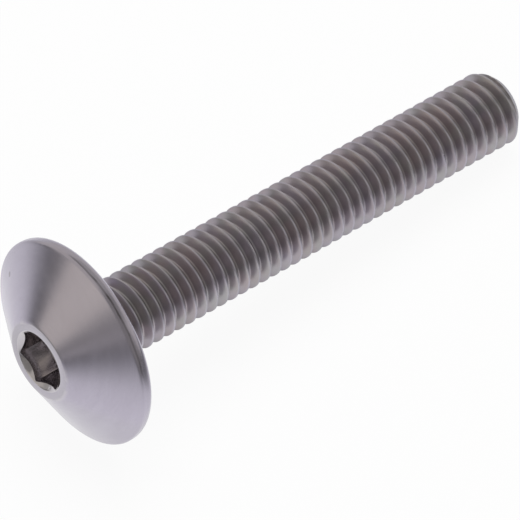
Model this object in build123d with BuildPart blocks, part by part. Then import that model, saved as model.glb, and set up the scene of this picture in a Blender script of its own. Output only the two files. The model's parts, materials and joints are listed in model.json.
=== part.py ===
from build123d import *
import os
from math import asin, atan2, cos, degrees, hypot, radians, sin, tan

# A socket screw with a wide low conical head, turned and pressed from one piece of steel.
# It lies at rest on the edge of its head and the end of its thread, with the tip towards +X.
# The origin is the centre of the bearing face, where the head meets the thread. Sizes are in mm.

# Shank: the cylinder over the crests of an M6 x 1 thread that reaches up to the head
thread_diameter = 5.88
thread_length = 40.0
point_diameter = 4.4  # flat end of the tip, just inside the thread's roots
underhead_radius = 0.25

# Head: heights are measured from the bearing face
head_diameter = 16.2
head_height = 4.0
rim_height = 1.0  # where the cone would meet the rim if its edges weren't rounded
rim_radius = 0.6  # of the rim's edge on the bearing side, which the floor touches
brow_radius = 0.3  # of the edge between cone and rim
ring_diameter = 6.1  # outside of the flat ring round the socket

# Socket for a 4 mm hexagon key
key_size = 4.08  # across the flats
socket_depth = 2.3
mouth_diameter = 4.84  # outside of the countersunk mouth
mouth_angle = 90.0
pilot_diameter = 3.9  # drilled before the hexagon is pressed in
pilot_point_angle = 118.0
socket_turn = -4.1  # of a corner of the hexagon from straight up, in degrees

thread_radius = thread_diameter / 2
point_radius = point_diameter / 2
head_radius = head_diameter / 2
ring_radius = ring_diameter / 2
mouth_radius = mouth_diameter / 2
pilot_radius = pilot_diameter / 2

# The rim's two roundings share its height: each takes its radius times the tangent of half
# its corner's turn, and a little of the straight edge is left between them.
cone_slope = degrees(atan2(head_height - rim_height, head_radius - ring_radius))
rim_share = rim_radius + brow_radius * tan(radians((90 - cone_slope) / 2))
ease = min(1, 0.97 * rim_height / rim_share)
edge_radius = ease * rim_radius

# The floor touches the rounded rim and the last full crest, so the tip hangs down by this angle
point_taper = thread_radius - point_radius
rest_run = thread_length - point_taper + edge_radius
rest_drop = head_radius - edge_radius - thread_radius
lean = atan2(rest_drop, rest_run) + asin(edge_radius / hypot(rest_run, rest_drop))

# Seat lies on the bearing face and looks out of the head, with its X up from the floor.
# Section is cut along the screw: X is the distance from its axis and Y the height over the seat.
seat = Plane(origin=(0, 0, 0), x_dir=(sin(lean), 0, cos(lean)), z_dir=(-cos(lean), 0, sin(lean)))
section = Plane(origin=seat.origin, x_dir=seat.x_dir, z_dir=-seat.y_dir)
screw_axis = Axis(seat.origin, seat.z_dir)

with BuildPart() as screw:
    # Turned blank: head, bearing face, shank and chamfered tip in one outline
    with BuildSketch(section) as blank:
        with BuildLine():
            Polyline(
                (0, head_height),
                (ring_radius, head_height),
                (head_radius, rim_height),
                (head_radius, 0),
                (thread_radius, 0),
                (thread_radius, point_taper - thread_length),
                (point_radius, -thread_length),
                (0, -thread_length),
                close=True,
            )
        make_face()
        fillet(blank.vertices().sort_by_distance((head_radius, 0))[0], radius=edge_radius)
        fillet(blank.vertices().sort_by_distance((head_radius, rim_height))[0], radius=ease * brow_radius)
        fillet(blank.vertices().sort_by_distance((thread_radius, 0))[0], radius=underhead_radius)
    revolve(axis=screw_axis)

    # Drilled pilot and countersunk mouth
    mouth_depth = (mouth_radius - pilot_radius) / tan(radians(mouth_angle / 2))
    pilot_floor = head_height - socket_depth
    pilot_point = pilot_floor - pilot_radius / tan(radians(pilot_point_angle / 2))
    with BuildSketch(section):
        with BuildLine():
            Polyline(
                (0, head_height),
                (mouth_radius, head_height),
                (pilot_radius, head_height - mouth_depth),
                (pilot_radius, pilot_floor),
                (0, pilot_point),
                close=True,
            )
        make_face()
    revolve(axis=screw_axis, mode=Mode.SUBTRACT)

    # Pressed hexagon
    with BuildSketch(seat.offset(head_height)):
        RegularPolygon(radius=key_size / 2, side_count=6, major_radius=False, rotation=socket_turn)
    extrude(amount=-socket_depth, mode=Mode.SUBTRACT)

screw.part.label = "screw"

os.makedirs("parts", exist_ok=True)
export_step(screw.part, "parts/screw.step")
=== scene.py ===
# %% [markdown]
# # A socket screw with a wide conical head
# This lesson dresses one steel screw. It lies on its side, on the edge of its head and the end of its
# thread. The solid model gives the place and the size of everything, so the first step is to load it. Its
# box is kept as well: the floor is laid at its bottom, and the head is made a little smaller to stay
# inside it.

# %% Load the solid model
import json
from math import atan2, cos, pi, radians, sin, sqrt, tan

import bmesh
import bpy
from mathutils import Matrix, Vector


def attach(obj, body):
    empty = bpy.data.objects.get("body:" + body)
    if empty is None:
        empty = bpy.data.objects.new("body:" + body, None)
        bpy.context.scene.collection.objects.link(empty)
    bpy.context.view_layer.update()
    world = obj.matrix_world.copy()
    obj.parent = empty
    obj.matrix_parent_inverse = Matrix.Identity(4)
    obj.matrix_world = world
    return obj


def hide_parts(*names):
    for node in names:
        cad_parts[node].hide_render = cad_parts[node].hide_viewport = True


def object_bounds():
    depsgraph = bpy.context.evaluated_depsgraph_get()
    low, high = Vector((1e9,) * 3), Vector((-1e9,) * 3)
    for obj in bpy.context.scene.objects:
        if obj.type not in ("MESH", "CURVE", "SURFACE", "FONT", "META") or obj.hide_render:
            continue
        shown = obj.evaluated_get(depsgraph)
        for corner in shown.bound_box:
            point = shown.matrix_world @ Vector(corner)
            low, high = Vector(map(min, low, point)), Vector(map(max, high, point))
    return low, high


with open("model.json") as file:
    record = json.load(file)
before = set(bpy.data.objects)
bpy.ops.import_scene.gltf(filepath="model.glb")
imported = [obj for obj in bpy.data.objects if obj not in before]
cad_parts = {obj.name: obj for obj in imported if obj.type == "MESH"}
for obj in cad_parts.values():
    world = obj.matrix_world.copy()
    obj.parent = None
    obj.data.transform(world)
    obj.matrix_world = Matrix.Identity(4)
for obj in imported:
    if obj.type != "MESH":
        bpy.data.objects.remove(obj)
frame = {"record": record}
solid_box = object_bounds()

MM = 0.001
print("solid box, mm:", [[round(v / MM, 3) for v in corner] for corner in solid_box])

# %% [markdown]
# ## The screw's own directions
# A screw is easiest to describe as a lathe sees it: how far along its axis, how far out
# from it, and which way round. It could be built upright and then tipped over, but a piece
# stays at the origin here, so its place has to be in its points. The model's record says
# where the thread's axis points. From it come the directions up and sideways, and a helper
# that turns "along, out, round" in millimetres into a point in metres.

# %% Axis, up and side
thread_mount = next(m for m in frame["record"]["mounts"] if m["name"] == "thread")
axis = Vector(thread_mount["axis"]).normalized()
up = Vector((-axis.z, 0, axis.x))
side = axis.cross(up)


def outward(turn):
    """The direction straight out from the axis. The turn starts at the top, in radians."""
    return up * cos(turn) + side * sin(turn)


def spot(along, out, turn):
    """A point of the screw, in metres."""
    return (axis * along + outward(turn) * out) * MM


print("axis", [round(v, 4) for v in axis], "side", [round(v, 4) for v in side])

# %% [markdown]
# ## Sizes
# These are the screw's sizes in millimetres, the same as the solid model has. Only the head
# is a hundredth smaller all round, so that it stays inside the solid's box. The sizes could
# be measured on the solid, but a name for each one makes the later cells easier to read.
# Everything across is a radius here, because the helper above counts out from the axis. The
# thread is a normal M6: each turn moves on by one millimetre.

# %% Sizes in millimetres
PITCH = 1.0
CREST = 2.94
THREAD_LENGTH = 40.0
POINT = 2.2  # flat end of the tip
UNDERHEAD = 0.25  # rounded corner under the head

HEAD = 8.09
HEAD_HEIGHT = 4.0
RIM_HEIGHT = 1.0
RIM_ROUND = 0.6  # of the rim's edge on the bearing side
RIM_EDGE = 0.3  # of its edge against the cone
RING = 3.05  # outside of the flat ring round the socket

MOUTH = 2.42  # outside of the countersink
KEY = 4.08 / 2  # from the axis to a flat of the hexagon
SOCKET_DEPTH = 2.3
PILOT = 3.9 / 2  # of the hole that is drilled first
PILOT_POINT = PILOT / tan(radians(118 / 2))
HEXAGON_TURN = radians(4.1)
THREAD_TURN = 0.2368  # where a crest leaves the bearing face, in radians

print("head", 2 * HEAD, "mm wide, thread", 2 * CREST, "mm")

# %% [markdown]
# ## The camera
# A small part is best seen from well back through a long lens, which keeps its near end from
# looking bigger than its far end. The camera looks down on the screw from above its head.
# It stands straight, so one direction is enough to aim it, and no rotation has to be
# worked out by hand.

# %% Camera
looking = Vector((0.391448, 0.466367, -0.793266))
lens = bpy.data.cameras.new("camera")
lens.lens = 466.74
lens.sensor_width = 36
lens.clip_start = 0.01
lens.clip_end = 20
camera = bpy.data.objects.new("camera", lens)
camera.location = (-0.175627, -0.228958, 0.384632)
camera.rotation_mode = "QUATERNION"
camera.rotation_quaternion = looking.to_track_quat("-Z", "Y")
bpy.context.scene.collection.objects.link(camera)
bpy.context.scene.camera = camera
print("camera stands", round(camera.location.length, 3), "m from the head")

# %% [markdown]
# ## The thread's profile
# A thread is one groove wound round the bar. It could be made with Blender's Screw
# modifier, but then the run-out under the head and the chamfer at the tip would need
# boolean cuts, which leave messy edges. Instead, half a ridge is written down as a list of
# points, from the middle of the crest to the middle of the root: how far along, as a share
# of the pitch, and how deep in millimetres. The flanks slope at the standard 60 degrees,
# and the corners are eased, as rolling leaves them.

# %% Half a ridge, from crest to root
HALF_RIDGE = [
    (0.000, 0.000),
    (0.025, 0.000),
    (0.052, 0.001),
    (0.073, 0.018),
    (0.150, 0.152),
    (0.225, 0.281),
    (0.300, 0.411),
    (0.370, 0.530),
    (0.410, 0.583),
    (0.450, 0.606),
    (0.500, 0.613),
]
GROOVE_DEPTH = HALF_RIDGE[-1][1]
ridge = HALF_RIDGE + [(1 - share, depth) for share, depth in HALF_RIDGE[-2:0:-1]]
print(len(ridge), "points a turn, groove", GROOVE_DEPTH, "mm deep")

# %% [markdown]
# ## Where the thread starts and ends
# The groove can't start at full depth against the head. Near the tip the rolling dies leave
# it shallow, and the chamfer cuts the last ridge away. Each of these could be modelled and
# then merged. It is simpler to ask, at each place along the screw, how far out each of them
# would put the surface, and to take the larger or the smaller one.

# %% Radius of the thread at a place
RUN_OUT = 0.9  # from the rounded corner to full depth
LAST_TURN = 0.8  # from where the groove gets shallow to the end
LAST_FADE = 0.5  # length over which it does
LAST_LOSS = 0.7  # share of its depth that it loses


def smooth(share):
    """A share from 0 to 1, eased at both ends."""
    share = min(1, max(0, share))
    return share * share * (3 - 2 * share)


def underhead(along):
    """The rounded corner under the head, then the run-out that sinks to the root."""
    if along < UNDERHEAD:
        return CREST + UNDERHEAD - sqrt(UNDERHEAD**2 - (along - UNDERHEAD) ** 2)
    return CREST - GROOVE_DEPTH * smooth((along - UNDERHEAD) / RUN_OUT)


def fullness(along):
    """1 along the thread, and less over most of the last turn."""
    return 1 - LAST_LOSS * smooth((along - THREAD_LENGTH + LAST_TURN) / LAST_FADE)


def chamfer(along):
    """The cone at the tip, which takes the corner off the last ridge."""
    return POINT + THREAD_LENGTH - along


def thread_radius(along, depth):
    return min(max(CREST - depth * fullness(along), underhead(along)), chamfer(along))


print("under the head", round(underhead(0), 3), "at the tip", round(chamfer(THREAD_LENGTH), 3))

# %% [markdown]
# ## One skin of rings
# The screw is one piece of metal, so it gets one skin. That could be several objects pushed
# into each other, but their hidden faces would be left inside. Here every part of the screw
# is made of rings with the same number of columns, which start at a corner of the hexagon,
# so that its edges fall on them. First come the points of a ring.

# %% Points of the mesh
COLUMNS = 96
points = []


def turn_of(column):
    return 2 * pi * column / COLUMNS + HEXAGON_TURN


def new_point(along, out, turn):
    points.append(spot(along, out, turn))
    return len(points) - 1


def new_ring(places):
    """One ring of points, from an (along, out) place for each column."""
    return [new_point(*place, turn_of(c)) for c, place in enumerate(places)]


def new_circle(along, out):
    return new_ring([(along, out)] * COLUMNS)


print(COLUMNS, "columns round the screw")

# %% [markdown]
# ## Faces between the rings
# Each ring is joined to the last one by a band of faces. Where two of a face's corners are
# the same point, one is left out, so no face has an edge without length. Every face also
# remembers which finish it gets, because the three finishes meet along rings, and that is
# easier to say now than to select later.

# %% Faces of the mesh
TURNED, ROLLED, PRESSED = range(3)
faces = []
finish_of_face = []


def new_face(corners, finish):
    """A face without the corners that fall together."""
    kept = [c for n, c in enumerate(corners) if c != corners[n - 1]]
    if len(set(kept)) > 2:
        faces.append(kept)
        finish_of_face.append(finish)


def join_rings(first, second, finish):
    for c in range(COLUMNS):
        n = (c + 1) % COLUMNS
        new_face([first[c], first[n], second[n], second[c]], finish)


def close_ring(ring, along, finish):
    """A cap that closes the last ring to a point on the axis."""
    middle = new_point(along, 0, 0)
    for c in range(COLUMNS):
        new_face([ring[c], ring[(c + 1) % COLUMNS], middle], finish)


print("finishes are numbered", TURNED, ROLLED, PRESSED)

# %% [markdown]
# ## A mesh that follows the helix
# If the rows of the mesh ran straight round the bar, each ridge would climb across them
# and its edge would look like a saw. So the rows climb with the thread: one step round is
# also a small step along, and after a full turn a row meets the row one pitch further on.
# A row that would leave the bar is held at its end, on a plain circle.

# %% Wind the thread
SPARE_TURNS = 2
END_GAP = 0.02
rows = len(ridge) * (round(THREAD_LENGTH / PITCH) + SPARE_TURNS + 1)
bearing_circle = new_circle(0, underhead(0))
tip_circle = new_circle(THREAD_LENGTH, POINT)


def thread_point(column, row):
    share, depth = ridge[row % len(ridge)]
    climb = (turn_of(column) - THREAD_TURN) / (2 * pi)
    along = PITCH * (row // len(ridge) - SPARE_TURNS + share + climb)
    if along < END_GAP:
        return bearing_circle[column]
    if along > THREAD_LENGTH - END_GAP:
        return tip_circle[column]
    return new_point(along, thread_radius(along, depth), turn_of(column))


grid = [[thread_point(c, r) for r in range(rows + len(ridge))] for c in range(COLUMNS)]
for c, here in enumerate(grid):
    there = grid[c + 1] if c + 1 < COLUMNS else grid[0][len(ridge):]
    for r in range(rows - 1):
        new_face([here[r], there[r], there[r + 1], here[r + 1]], ROLLED)
print(len(faces), "faces in the thread")

# %% [markdown]
# ## The head
# The head is a plain lathe shape: the flat bearing face, a rounded rim, the long cone and
# a narrow flat ring round the socket. A Screw modifier could spin its outline, but rings
# that go on from the thread's own first circle leave no gap to close. The rim's two
# roundings are arcs, so a small helper gives the points of an arc.

# %% Rings of the head
RING_ROUND = 0.05
MOUTH_ROUND = 0.03
BEARING_STEPS = (3.6, 4.6, 5.6, 6.6)
CONE_STEPS = (0.02, 0.1, 0.25, 0.4, 0.55, 0.7, 0.85, 0.95, 0.985)


def arc(along, out, radius, start, end, steps):
    """Points of an arc, as (along, out). The angles go from straight out towards the key."""
    angles = [start + (end - start) * n / steps for n in range(steps + 1)]
    return [(along - radius * sin(a), out + radius * cos(a)) for a in angles]


def on_line(first, second, share):
    """The place at a share of the way from one (along, out) place to another."""
    return tuple(a + (b - a) * share for a, b in zip(first, second))


cone_slope = atan2(HEAD_HEIGHT - RIM_HEIGHT, HEAD - RING)
rim_wall = RIM_HEIGHT - RIM_EDGE * tan((pi / 2 - cone_slope) / 2)
bearing_face = [(0, out) for out in BEARING_STEPS]
lower = arc(-RIM_ROUND, HEAD - RIM_ROUND, RIM_ROUND, -pi / 2, 0, 8)
upper = arc(-rim_wall, HEAD - RIM_EDGE, RIM_EDGE, 0, pi / 2 - cone_slope, 5)
cone = [on_line(upper[-1], (-HEAD_HEIGHT, RING), share) for share in CONE_STEPS]
flat_ring = [
    (-HEAD_HEIGHT + 0.12 * RING_ROUND, RING - 0.3 * RING_ROUND),
    (-HEAD_HEIGHT, RING - RING_ROUND),
    (-HEAD_HEIGHT, MOUTH + MOUTH_ROUND),
]
head_rings = bearing_face + lower + upper + cone + flat_ring
last = bearing_circle
for along, out in head_rings:
    ring = new_circle(along, out)
    join_rings(last, ring, TURNED)
    last = ring
print(len(head_rings), "rings; the rim's wall is", round(rim_wall - RIM_ROUND, 3), "mm high")

# %% [markdown]
# ## The socket
# The hexagon is pressed into a drilled hole with a countersunk mouth. Where the
# countersink meets the flat sides it dips down, and at the six corners it stays high:
# that gives the wavy edge that real sockets have. Booleans would cut it, but they would
# break up the rings. The same rings can make it, if each column knows how far out the
# hexagon's wall is in its direction. So this helper gives the socket's whole section in
# one direction, from the mouth down to the drilled bottom.

# %% Rings of the socket
CORNER_EASE = 0.035
MOUTH_EASE = 0.01
LIP = 0.03
LIP_BULGE = (-0.012, 0.008)
FOOT = 0.05
shelf = -HEAD_HEIGHT + SOCKET_DEPTH
bottom = (shelf + PILOT_POINT, 0)


def wall(column):
    """Distance from the axis to the hexagon's wall, with the six corners a little eased."""
    from_flat = (2 * pi * column / COLUMNS) % (pi / 3) - pi / 6
    return min(KEY / cos(from_flat), KEY / cos(pi / 6) - CORNER_EASE)


def socket_section(column):
    out = wall(column)
    edge = -HEAD_HEIGHT + MOUTH - out
    mouth = (-HEAD_HEIGHT + MOUTH_EASE, MOUTH - MOUTH_EASE)
    section = [on_line(mouth, (edge - LIP, out + LIP), share) for share in (0, 0.33, 0.67, 1)]
    section.append((edge + LIP_BULGE[0], out + LIP_BULGE[1]))
    section += [on_line((edge + LIP, out), (shelf, out), share) for share in (0, 0.35, 0.7, 0.97)]
    section.append((shelf, out - FOOT))
    section += [on_line((shelf, PILOT), bottom, share) for share in (0, 0.3, 0.6, 0.85)]
    return section


for places in zip(*(socket_section(c) for c in range(COLUMNS))):
    ring = new_ring(places)
    join_rings(last, ring, PRESSED)
    last = ring
close_ring(last, bottom[0], PRESSED)
print("wall", round(wall(COLUMNS // 12), 3), "mm out at a flat and", round(wall(0), 3), "at a corner")

# %% [markdown]
# ## The end of the tip
# The bar was sheared off before the thread was rolled, so its end is a flat disc. One
# many-sided face would do, but smooth shading bends on such a face, so a few inner circles
# carry it to the middle.

# %% Close the tip
TIP_STEPS = (2.1, 1.4, 0.7)
last = tip_circle
for out in TIP_STEPS:
    ring = new_circle(THREAD_LENGTH, out)
    join_rings(last, ring, ROLLED)
    last = ring
close_ring(last, THREAD_LENGTH, ROLLED)
print(len(points), "points,", len(faces), "faces")

# %% [markdown]
# ## From points to an object
# The lists become one mesh. Points that no face uses are deleted, and bmesh turns every
# face the right way out and tells us if an edge has been left open. A subdivision would
# make all edges softer. Smooth shading does better here, with sharp edges only where the
# surface really turns: it keeps the crests soft and the hexagon crisp.

# %% Make the mesh
SHARP_ANGLE = radians(36)
skin = bpy.data.meshes.new("screw_skin")
skin.from_pydata(points, [], faces)
skin.polygons.foreach_set("material_index", finish_of_face)
shape = bmesh.new()
shape.from_mesh(skin)
bmesh.ops.delete(shape, geom=[v for v in shape.verts if not v.link_faces], context="VERTS")
bmesh.ops.recalc_face_normals(shape, faces=shape.faces)
open_edges = sum(not e.is_manifold for e in shape.edges)
volume = shape.calc_volume() / MM**3
triangles = sum(len(f.verts) - 2 for f in shape.faces)
shape.to_mesh(skin)
shape.free()
skin.polygons.foreach_set("use_smooth", [True] * len(skin.polygons))
skin.set_sharp_from_angle(angle=SHARP_ANGLE)
screw = bpy.data.objects.new("socket_screw", skin)
bpy.context.scene.collection.objects.link(screw)
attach(screw, "root")
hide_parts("screw")
print(triangles, "triangles,", open_edges, "open edges,", round(volume, 1), "cubic mm")

# %% [markdown]
# ## Node helpers
# The finishes are made of nodes. They could be placed one by one in the node editor. In a
# script, a few small helpers keep the cells short: one adds a node and fills in its values,
# and the others name the sums that come up most. A value may be a number or another node's
# output.


# %% Helpers for nodes
def add(tree, kind, values=None, **settings):
    node = tree.nodes.new(kind)
    for name, value in settings.items():
        setattr(node, name, value)
    for name, value in (values or {}).items():
        if isinstance(value, bpy.types.NodeSocket):
            tree.links.new(value, node.inputs[name])
        else:
            node.inputs[name].default_value = value
    return node


def maths(tree, operation, first, second=0.0, third=0.0):
    return add(tree, "ShaderNodeMath", {0: first, 1: second, 2: third}, operation=operation).outputs[0]


def times(tree, first, second):
    return maths(tree, "MULTIPLY", first, second)


def blend(tree, share, low, high):
    """A number from low to high."""
    return maths(tree, "MULTIPLY_ADD", share, high - low, low)


def vector_maths(tree, operation, first, second=(0, 0, 0)):
    return add(tree, "ShaderNodeVectorMath", {0: first, 1: second}, operation=operation).outputs


def scaled(tree, vector, scale):
    values = {"Vector": vector, "Scale": scale}
    return add(tree, "ShaderNodeVectorMath", values, operation="SCALE").outputs[0]


print("node helpers ready")

# %% [markdown]
# ## Masks
# A mask is a number from 0 to 1 that says where something is. Most masks here come from a
# distance on the screw, or from noise. A colour ramp could shape them, but its stops are
# hard to read in a script. Two helpers do it with plain limits, and a third adds noise.


# %% Helpers for masks
def between(tree, value, low, high):
    """0 at low and 1 at high, eased at both ends."""
    values = {"Value": value, "From Min": low, "From Max": high}
    return add(tree, "ShaderNodeMapRange", values, interpolation_type="SMOOTHSTEP").outputs["Result"]


def band(tree, value, start, full, fading, end):
    """0 outside start and end, and 1 from full to fading."""
    return times(tree, between(tree, value, start, full), between(tree, value, end, fading))


def noise(tree, vector, scale, detail, roughness=0.5, distortion=0.0):
    values = {"Vector": vector, "Scale": scale, "Detail": detail}
    values.update({"Roughness": roughness, "Distortion": distortion})
    return add(tree, "ShaderNodeTexNoise", values).outputs[0]


print("mask helpers ready")

# %% [markdown]
# ## Groups with named sockets
# Some effects are needed in every finish. Copying their nodes would mean mending them in
# three places, so each becomes a node group: it is built once, and placed in each material
# with its own values. One helper opens a group and gives it its named inputs and outputs,
# one links its results, and one places it in a material.

# %% Helpers for groups
FLOAT, VECTOR = "NodeSocketFloat", "NodeSocketVector"


def new_group(name, takes, gives):
    """takes is {name: (kind, default)} and gives is {name: kind}."""
    tree = bpy.data.node_groups.new(name, "ShaderNodeTree")
    for label, (kind, default) in takes.items():
        tree.interface.new_socket(label, in_out="INPUT", socket_type=kind).default_value = default
    for label, kind in gives.items():
        tree.interface.new_socket(label, in_out="OUTPUT", socket_type=kind)
    return tree, tree.nodes.new("NodeGroupInput").outputs, tree.nodes.new("NodeGroupOutput").inputs


def give(tree, given, results):
    """Links each result to the group's output of that name."""
    for label, result in results.items():
        tree.links.new(result, given[label])
    print("group:", tree.name)


def use_group(tree, group, values):
    return add(tree, "ShaderNodeGroup", values, node_tree=group).outputs


print("group helpers ready")

# %% [markdown]
# ## Where am I on the screw?
# Turning, rolling and wear all follow the axis, so every finish first needs to know how far
# along and how far out a point is. A UV map could tell, but it would have a seam. This
# group works it out from the object's coordinates, in millimetres. "Across" grows from the
# rim to the socket on the head. "Round" is a direction that goes round with the surface.
# "Lean" says how far the surface faces the tip: 1 is straight at it, and -1 at the key.

# %% Group: place on the screw
place_group, taken, given = new_group(
    "place on the screw",
    {"Object": (VECTOR, (0, 0, 0)), "Normal": (VECTOR, (0, 0, 1))},
    {"Along": FLOAT, "Out": FLOAT, "Across": FLOAT, "Round": VECTOR, "Lean": FLOAT},
)
in_mm = scaled(place_group, taken["Object"], 1 / MM)
along = vector_maths(place_group, "DOT_PRODUCT", in_mm, axis)["Value"]
off_axis = vector_maths(place_group, "SUBTRACT", in_mm, scaled(place_group, axis, along))[0]
out = vector_maths(place_group, "LENGTH", off_axis)["Value"]
give(place_group, given, {
    "Along": along,
    "Out": out,
    "Across": maths(place_group, "SUBTRACT", along, out),
    "Round": vector_maths(place_group, "NORMALIZE", off_axis)[0],
    "Lean": vector_maths(place_group, "DOT_PRODUCT", taken["Normal"], axis)["Value"],
})

# %% [markdown]
# ## Marks left by the tool
# A lathe leaves fine rings, a thread roller leaves fine lines along the groove, and a
# punch leaves lines down the walls of the socket. Modelled, they would take millions of
# faces, so they are bump. They differ only in direction: one group makes long thin marks
# from stretched noise, and each finish gives it its own "Position". The noise is stretched
# where the position changes slowly. The group puts out a height for the bump, and a soft
# mask for colour and roughness.

# %% Group: tool marks
FINE_SHARE, BROAD_SHARE = 0.4, 0.6
marks_group, taken, given = new_group(
    "tool marks",
    {"Position": (VECTOR, (0, 0, 0)), "Fine Scale": (FLOAT, 8.0), "Broad Scale": (FLOAT, 1.0)},
    {"Height": FLOAT, "Mask": FLOAT},
)
fine = noise(marks_group, taken["Position"], taken["Fine Scale"], detail=3.0, roughness=0.6)
broad = noise(marks_group, taken["Position"], taken["Broad Scale"], detail=2.0)
both = maths(
    marks_group, "ADD", times(marks_group, fine, FINE_SHARE), times(marks_group, broad, BROAD_SHARE)
)
give(marks_group, given, {"Height": fine, "Mask": between(marks_group, both, 0.32, 0.68)})

# %% [markdown]
# ## Handling
# Screws are shipped loose in a box, so they knock against each other, and oil dries on them
# in patches. That leaves a few tiny specks, stains, and bright spots on the edges that
# stick out. They could be painted by hand, but a pattern from noise covers every side. The
# group takes a mask of the edges and breaks it up. It also gives a few dark specks, a wide
# soft cloud, and stains that lie elsewhere than the cloud.

# %% Group: handling wear
SPECK_SHARE = (0.9, 1.0)
SPECK_SIZE = 0.2
STAIN_SHIFT = (0.3, 0.1, 0.2)
wear_group, taken, given = new_group(
    "handling wear",
    {"Object": (VECTOR, (0, 0, 0)), "Edge": (FLOAT, 0.0), "Speck Scale": (FLOAT, 900.0)},
    {"Worn Edge": FLOAT, "Specks": FLOAT, "Cloud": FLOAT, "Stain": FLOAT},
)
patches = noise(wear_group, taken["Object"], 1400.0, detail=3.0, roughness=0.6)
cells = add(
    wear_group, "ShaderNodeTexVoronoi",
    {"Vector": taken["Object"], "Scale": taken["Speck Scale"]}, feature="F1",
).outputs
chosen = add(wear_group, "ShaderNodeSeparateColor", {"Color": cells["Color"]}).outputs[0]
size = times(wear_group, between(wear_group, chosen, *SPECK_SHARE), SPECK_SIZE)
cloud = noise(wear_group, taken["Object"], 330.0, detail=4.0, roughness=0.55)
moved = vector_maths(wear_group, "ADD", taken["Object"], STAIN_SHIFT)[0]
stain = noise(wear_group, moved, 420.0, detail=3.0, roughness=0.6, distortion=0.4)
give(wear_group, given, {
    "Worn Edge": times(wear_group, taken["Edge"], between(wear_group, patches, 0.3, 0.62)),
    "Specks": maths(wear_group, "LESS_THAN", cells["Distance"], size),
    "Cloud": between(wear_group, cloud, 0.3, 0.7),
    "Stain": between(wear_group, stain, 0.42, 0.66),
})

# %% [markdown]
# ## The finishes
# Bare stainless steel is a metal, so its colour lies in its reflections: a grey with a
# trace of violet under a cool sky. One finish for the whole screw would be quicker, but
# turning, rolling and pressing each leave their own. Every finish starts and ends with the
# same nodes, so helpers add those: a metal shader and the place on the screw at the start,
# and the links for colour, roughness and bump at the end.


# %% Start and complete a finish
def blank(name):
    """A material with no nodes yet."""
    material = bpy.data.materials.new(name)
    material.use_nodes = True
    material.node_tree.nodes.clear()
    return material, material.node_tree


def show(tree, shader, output="ShaderNodeOutputMaterial"):
    tree.links.new(shader.outputs[0], tree.nodes.new(output).inputs["Surface"])


def new_finish(name):
    material, tree = blank(name)
    steel = add(tree, "ShaderNodeBsdfPrincipled", {"Metallic": 1.0})
    show(tree, steel)
    space = tree.nodes.new("ShaderNodeTexCoord").outputs
    place = use_group(tree, place_group, {"Object": space["Object"], "Normal": space["Normal"]})
    return material, tree, steel, space["Object"], place


def complete(tree, steel, colour, rough, height, strength, distance):
    """Links the finish to its shader. distance is the height of the marks, in millimetres."""
    bump = add(tree, "ShaderNodeBump", {"Strength": strength, "Distance": distance * MM, "Height": height})
    for name, value in (("Base Color", colour), ("Roughness", rough), ("Normal", bump.outputs[0])):
        tree.links.new(value, steel.inputs[name])


print("finish helpers ready")

# %% [markdown]
# ## Colour over colour
# A finish is built up like paint: a base colour, and then one colour after another, each
# through its own mask. The tool's marks need a position that is stretched along them. One
# could scale the coordinates, but that only makes straight marks. A position made from the
# direction round the axis bends them round the screw.


# %% Helpers for colours and marks
def mix(tree, share, first, second):
    """One colour over another. A colour is three numbers or another node's output."""
    first, second = (c if isinstance(c, bpy.types.NodeSocket) else (*c, 1) for c in (first, second))
    return add(tree, "ShaderNodeMix", {0: share, 6: first, 7: second}, data_type="RGBA").outputs[2]


def stretched(tree, direction, turn_scale, across):
    """A position for the marks: it changes slowly round the screw and quickly across the marks."""
    fast = add(tree, "ShaderNodeCombineXYZ", {0: across, 1: across, 2: across})
    return vector_maths(tree, "ADD", scaled(tree, direction, turn_scale), fast.outputs[0])[0]


print("colour helpers ready")

# %% [markdown]
# ### Turned head
# The head is turned on a lathe and lightly polished, so its rings are very fine. It is the
# smoothest part of the screw. The flat ring was faced by another tool and is a shade duller,
# and its edges are the first to be rubbed bright. The masks follow from how far out a point
# is, so no part of the mesh has to be marked for them.

# %% Finish: turned steel
DULL, CLEAN = (0.472, 0.445, 0.512), (0.502, 0.475, 0.545)
FACED, RUBBED, SPECK = (0.455, 0.44, 0.46), (0.60, 0.58, 0.59), (0.22, 0.2, 0.2)
turned, tree, steel, coordinates, place = new_finish("turned_steel")
position = stretched(tree, place["Round"], 1.2, place["Across"])
marks = use_group(tree, marks_group, {"Position": position, "Fine Scale": 9.0, "Broad Scale": 1.6})
ring_edge = band(tree, place["Out"], RING - 0.15, RING, RING + 0.03, RING + 0.25)
wear = use_group(tree, wear_group, {"Object": coordinates, "Edge": ring_edge, "Speck Scale": 700.0})
inside_ring = between(tree, place["Out"], RING + 0.05, RING - 0.05)
colour = mix(tree, marks["Mask"], DULL, CLEAN)
colour = mix(tree, times(tree, inside_ring, blend(tree, wear["Cloud"], 0.5, 1.0)), colour, FACED)
colour = mix(tree, times(tree, wear["Worn Edge"], 0.5), colour, RUBBED)
colour = mix(tree, times(tree, wear["Specks"], 0.5), colour, SPECK)
print("turned head:", len(tree.nodes), "nodes so far")
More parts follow.
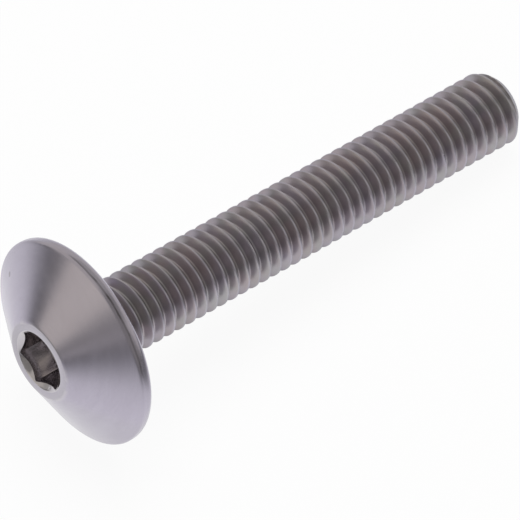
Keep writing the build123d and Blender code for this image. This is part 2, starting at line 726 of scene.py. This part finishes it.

# %% [markdown]
# ### The dark line on the rim
# Where the cone meets the rim, a fine broken dark line runs along one part of the edge. As geometry it
# would be a scratch too fine to see. As a mask it is a band at one height, cut off at both ends, with the
# handling stains to break it up and the cloud to keep it from being quite straight.

# %% Dark line on the rim
DARK_LINE = (0.10, 0.09, 0.085)
DARK_LINE_BAND = (-0.90, -0.82, -0.77, -0.68)
DARK_LINE_MIDDLE = 0.5
DARK_LINE_ENDS = (0.75, 0.84)
RIM_ONLY = 7.5
level = maths(tree, "MULTIPLY_ADD", wear["Cloud"], 0.08, place["Along"])
facing = vector_maths(tree, "DOT_PRODUCT", place["Round"], outward(DARK_LINE_MIDDLE))["Value"]
dark_line = times(tree, band(tree, level, *DARK_LINE_BAND), between(tree, facing, *DARK_LINE_ENDS))
dark_line = times(tree, dark_line, maths(tree, "GREATER_THAN", place["Out"], RIM_ONLY))
dark_line = times(tree, dark_line, blend(tree, wear["Stain"], 0.35, 0.85))
colour = mix(tree, dark_line, colour, DARK_LINE)
rough = maths(tree, "ADD", blend(tree, marks["Mask"], 0.20, 0.23), times(tree, wear["Cloud"], 0.03))
complete(tree, steel, colour, rough, marks["Height"], strength=0.12, distance=0.004)
print("finish:", turned.name)

# %% [markdown]
# ### Rolled thread
# The thread is rolled between hard dies, not cut. The crests are pressed smooth, and the grooves keep a
# little of the oil and oxide, which makes them duller and browner. The grooves are also painted darker
# than the crests: painted shade in the recesses.
# The sides that face the tip get a painted highlight: their colour is a little lighter.
# The chamfer at the tip is cut, and paler and rougher than the rest. All of it could be
# painted on the mesh, but it follows so closely from the place on the screw that the masks
# come from there.

# %% Finish: rolled steel
CREST_DULL, CREST_CLEAN = (0.50, 0.475, 0.54), (0.545, 0.52, 0.585)
GROOVE_SHADE, OIL, OXIDE = (0.43, 0.40, 0.445), (0.43, 0.36, 0.345), (0.41, 0.42, 0.405)
TIP_SIDE_HIGHLIGHT, WORN, CUT = (0.62, 0.59, 0.64), (0.60, 0.57, 0.60), (0.58, 0.57, 0.60)
CONE_REACH = THREAD_LENGTH + POINT
rolled, tree, steel, coordinates, place = new_finish("rolled_steel")
steel.inputs["Specular Tint"].default_value = (0.5, 0.5, 0.52, 1)
position = stretched(tree, place["Round"], 2.0, place["Out"])
marks = use_group(tree, marks_group, {"Position": position, "Fine Scale": 7.0, "Broad Scale": 1.5})
depth = between(tree, place["Out"], CREST, CREST - 0.05)
wear = use_group(tree, wear_group, {"Object": coordinates, "Edge": maths(tree, "SUBTRACT", 1.0, depth)})
# painted shade: the grooves get a darker colour than the crests
colour = mix(tree, depth, mix(tree, marks["Mask"], CREST_DULL, CREST_CLEAN), GROOVE_SHADE)
colour = mix(tree, times(tree, times(tree, depth, wear["Cloud"]), 0.55), colour, OIL)
colour = mix(tree, times(tree, wear["Stain"], 0.5), colour, OXIDE)
# painted highlight: the sides that face the tip are lighter
colour = mix(tree, times(tree, between(tree, place["Lean"], 0.0, 0.3), 0.4), colour, TIP_SIDE_HIGHLIGHT)
colour = mix(tree, times(tree, wear["Worn Edge"], 0.3), colour, WORN)
reach = maths(tree, "ADD", place["Along"], place["Out"])
cut = between(tree, reach, CONE_REACH - 0.08, CONE_REACH - 0.03)
colour = mix(tree, cut, colour, CUT)
rough = maths(tree, "ADD", blend(tree, depth, 0.27, 0.30), times(tree, wear["Cloud"], 0.05))
rough = maths(tree, "MULTIPLY_ADD", cut, 0.12, rough)
complete(tree, steel, colour, rough, marks["Height"], strength=0.3, distance=0.006)
print("finish:", rolled.name)

# %% [markdown]
# ### Pressed socket
# The hexagon is driven in with a punch, which drags lines down its walls and leaves them
# smooth enough to mirror each other. Light hardly gets in, so the walls look darker than
# their colour. The marks use the same group as the others. Only their position differs: it
# changes quickly round the socket and slowly along it. The lip is rubbed by the key.

# %% Finish: pressed steel
WALL_DULL, WALL_CLEAN, KEY_RUBBED = (0.48, 0.455, 0.468), (0.55, 0.522, 0.532), (0.56, 0.54, 0.555)
pressed, tree, steel, coordinates, place = new_finish("pressed_steel")
shift = add(tree, "ShaderNodeCombineXYZ", {0: place["Along"]})
position = vector_maths(tree, "ADD", scaled(tree, place["Round"], 14.0), shift.outputs[0])[0]
marks = use_group(tree, marks_group, {"Position": position, "Fine Scale": 1.6, "Broad Scale": 0.5})
wear = use_group(tree, wear_group, {"Object": coordinates})
lip = between(tree, place["Along"], -HEAD_HEIGHT + 0.45, -HEAD_HEIGHT)
colour = mix(tree, lip, mix(tree, marks["Mask"], WALL_DULL, WALL_CLEAN), KEY_RUBBED)
rough = maths(tree, "ADD", blend(tree, marks["Mask"], 0.12, 0.16), times(tree, wear["Cloud"], 0.03))
complete(tree, steel, colour, rough, marks["Height"], strength=0.2, distance=0.008)
for finish in (turned, rolled, pressed):
    skin.materials.append(finish)
print("finishes on the screw:", [m.name for m in skin.materials])

# %% [markdown]
# ## The floor
# The screw lies on white paper. A white floor that is only lit would look grey, and more
# light would burn out the metal. So most of the paper glows, but only for the camera and
# for rays that bounce off the metal. The rest is plain paper, which carries the soft shadow.

# %% Floor
FLOOR_SIZE = 6
PAPER_GLOW = 0.93


def sheet_mesh(name, rows):
    """A sheet from rows of points, each joined to the next row. It is used for the floor, the cards and
    the collar.
    """
    mesh = bpy.data.meshes.new(name)
    width = len(rows[0])
    quads = [
        (r * width + c, r * width + c + 1, (r + 1) * width + c + 1, (r + 1) * width + c)
        for r in range(len(rows) - 1) for c in range(width - 1)
    ]
    mesh.from_pydata([p for row in rows for p in row], [], quads)
    thing = bpy.data.objects.new(name, mesh)
    bpy.context.scene.collection.objects.link(thing)
    return thing


def seen_directly(tree):
    """1 for rays of the camera, of reflections and of glass, and 0 for the light itself."""
    rays = tree.nodes.new("ShaderNodeLightPath").outputs
    shown = maths(tree, "ADD", rays["Is Camera Ray"], rays["Is Glossy Ray"])
    return maths(tree, "MINIMUM", maths(tree, "ADD", shown, rays["Is Transmission Ray"]), 1.0)


floor_height = solid_box[0].z
ends = (-FLOOR_SIZE, FLOOR_SIZE)
floor = sheet_mesh("floor", [[(x, y, floor_height) for x in ends] for y in ends])
paper, tree = blank("white_paper")
glow = add(tree, "ShaderNodeEmission", {"Color": (1, 1, 1, 1), "Strength": 1.0})
matte = add(tree, "ShaderNodeBsdfDiffuse", {"Color": (0.9, 0.9, 0.9, 1)})
share = times(tree, seen_directly(tree), PAPER_GLOW)
show(tree, add(tree, "ShaderNodeMixShader", {0: share, 1: matte.outputs[0], 2: glow.outputs[0]}))
floor.data.materials.append(paper)
print("floor at", round(floor_height / MM, 3), "mm")

# %% [markdown]
# ## Things that only reflections see
# A metal part is lit as much by what it mirrors as by its lamp. What stands round it may
# not show in the render or darken the floor. It could be kept out of view, but the floor
# reaches everywhere, so each such thing is hidden from all rays but reflected ones, and
# glows by itself.


# %% Helpers for cards
def glowing(name, colour, strength):
    """A material that only glows. strength is a number, or the name of a value kept in the mesh."""
    material, tree = blank(name)
    if isinstance(strength, str):
        strength = add(tree, "ShaderNodeAttribute", attribute_name=strength).outputs["Fac"]
    show(tree, add(tree, "ShaderNodeEmission", {"Color": (*colour, 1), "Strength": strength}))
    return material


def only_reflected(thing, material):
    thing.data.materials.append(material)
    for ray in ("camera", "diffuse", "shadow", "transmission"):
        setattr(thing, "visible_" + ray, False)


def steps_between(ends, count):
    return [ends[0] + (ends[1] - ends[0]) * n / count for n in range(count + 1)]


def ball_point(radius, direction, height):
    a, e = radians(direction), radians(height)
    return Vector((sin(a) * cos(e), cos(a) * cos(e), sin(e))) * radius


print("card helpers ready")

# %% [markdown]
# ## The tent
# Polished metal shows whatever stands round it. In plain white surroundings it would look
# like chalk, so grey and dark cards are put round a metal part. Lamps of different strength
# would do it too, but they would also light the paper unevenly. Here a grey tent hangs over
# the screw, with a paler stretch of sky over the head, a darker side, a dark foot, and pale
# cards near the floor. Each is part of a ball round the head, given by its directions and
# heights, and only the reflections see it.

# %% Tent and cards
HEIGHT_STEPS = 8
STEP_WIDTH = 5
CARDS = [
    # name, radius in metres, directions and heights in degrees, colour, strength
    ("tent", 0.6, (-180, 180), (3, 90), (1, 0.97, 0.93), 0.45),
    ("pale_sky", 0.5, (-92, 25), (20, 80), (1, 0.95, 0.89), 0.62),
    ("dark_room_low", 0.5, (-215, -92), (4, 40), (1, 0.96, 0.92), 0.3),
    ("dark_room_high", 0.5, (-262, -92), (40, 78), (1, 0.96, 0.92), 0.3),
    ("dark_foot", 0.52, (-225, -28), (-2, 4), (1, 0.96, 0.94), 0.15),
    ("pale_wall", 0.55, (-20, 140), (-2, 33), (1, 0.96, 0.92), 0.65),
    ("pale_card", 0.45, (-86, -53), (4, 20), (1, 0.94, 0.84), 0.82),
    ("pale_slit", 0.44, (-100, -93), (-3, 6), (1, 0.96, 0.94), 0.6),
]
for name, radius, directions, heights, colour, strength in CARDS:
    columns = max(2, round((directions[1] - directions[0]) / STEP_WIDTH))
    card = sheet_mesh(name, [
        [ball_point(radius, d, h) for d in steps_between(directions, columns)]
        for h in steps_between(heights, HEIGHT_STEPS)
    ])
    only_reflected(card, glowing(name, colour, strength))
print("cards:", [card[0] for card in CARDS])

# %% [markdown]
# ## The collar on the floor
# The lower side of the screw mirrors the floor round it. A white floor would make it as bright as the
# paper, and its edge would be lost. So a glowing collar lies on the floor, white close to the metal and
# darker further out. Where its glow is held below white beside the thread, it is a painted shadow of the
# screw on the floor, which only the reflections see. A texture could give the fading, but its shape
# follows the screw, so it is easier to keep one value in each point of a small mesh. Each row of that mesh
# starts near the foot of the screw and runs outwards.

# %% Collar
COLLAR_LIFT = 0.2
COLLAR_ROWS = [
    # start x and y in mm, direction in degrees, reach in mm, share of the fading, most glow (below 1 it
    # paints the screw's shadow)
    (40, 3, 110, 15, 0.5, 1),
    (40, 3, 60, 15, 0.45, 1),
    (20, 3, 20, 15, 0.45, 1),
    (3, 5, 5, 18, 0.5, 1),
    (-2, 8, -12, 24, 0.7, 1),
    (-4, 8, -27, 30, 1, 1),
    (-4, 4, -45, 29, 1, 1),
    (-4.4, 0, -75, 24, 1, 1),
    (-4.4, -4, -105, 17, 1, 1),
    (-4.4, -8, -140, 19, 1, 1),
    (0, -8.2, -170, 22, 1, 1),
    (3, -8, -188, 22, 1, 1),
    # painted shadow: these rows beside the thread are held below full glow
    (9, -4, -192, 8, 1, 0.88),
    (20, -3, -200, 5, 1, 0.88),
    (40, -3, -210, 5, 1, 0.88),
    (40, -2, -250, 7, 0.7, 0.88),
]
# distance from the foot, counted in reaches, and the glow there
FADING = [(0.15, 1.0), (0.5, 0.93), (1, 0.85), (2, 0.6), (4, 0.35), (7, 0.25), (20, 0.2), (60, 0.2)]
collar_points = []
collar_glow = []
for x, y, direction, reach, share, most in COLLAR_ROWS:
    a = radians(direction)
    collar_points.append([
        ((x + reach * r * sin(a)) * MM, (y + reach * r * cos(a)) * MM, floor_height + COLLAR_LIFT * MM)
        for r, _ in FADING
    ])
    collar_glow += [min(most, 1 - (1 - glow) * share) for _, glow in FADING]
collar = sheet_mesh("dark_collar", collar_points)
collar.data.attributes.new("shade", "FLOAT", "POINT").data.foreach_set("value", collar_glow)
only_reflected(collar, glowing("dark_collar", (0.98, 0.97, 1), "shade"))

# %% [markdown]
# ## The light
# One large soft lamp hangs over the screw. It lights the paper and makes the soft shadow.
# Several lamps would give several shadows. The lamp itself isn't seen and isn't mirrored:
# the cards do that part.

# %% Lamp
LAMP_AIM = Vector((0.02, 0, 0))
softbox = bpy.data.lights.new("softbox", "AREA")
softbox.shape = "DISK"
softbox.size = 0.5
softbox.energy = 2.2
lamp = bpy.data.objects.new("softbox", softbox)
lamp.location = (0.1, 0.15, 0.5)
lamp.rotation_mode = "QUATERNION"
lamp.rotation_quaternion = (LAMP_AIM - lamp.location).to_track_quat("-Z", "Y")
lamp.visible_glossy = False
lamp.visible_camera = False
bpy.context.scene.collection.objects.link(lamp)
print("lamp", round(softbox.energy, 1), "W")

# %% [markdown]
# ## The world
# The world is what lies behind everything. It is white for the camera and for reflections,
# so that it goes on where the paper ends, and a plain pale grey for all other light. White
# for everything would be simpler, but it would wash the shadow out.

# %% World
world = bpy.data.worlds.new("studio")
bpy.context.scene.world = world
world.use_nodes = True
tree = world.node_tree
tree.nodes.clear()
grey = add(tree, "ShaderNodeBackground", {"Color": (0.8, 0.8, 0.8, 1), "Strength": 0.4})
white = add(tree, "ShaderNodeBackground", {"Color": (1, 1, 1, 1), "Strength": 1.0})
sky = add(tree, "ShaderNodeMixShader", {0: seen_directly(tree), 1: grey.outputs[0], 2: white.outputs[0]})
show(tree, sky, "ShaderNodeOutputWorld")
bpy.context.scene.view_settings.view_transform = "Standard"
print("world:", world.name)
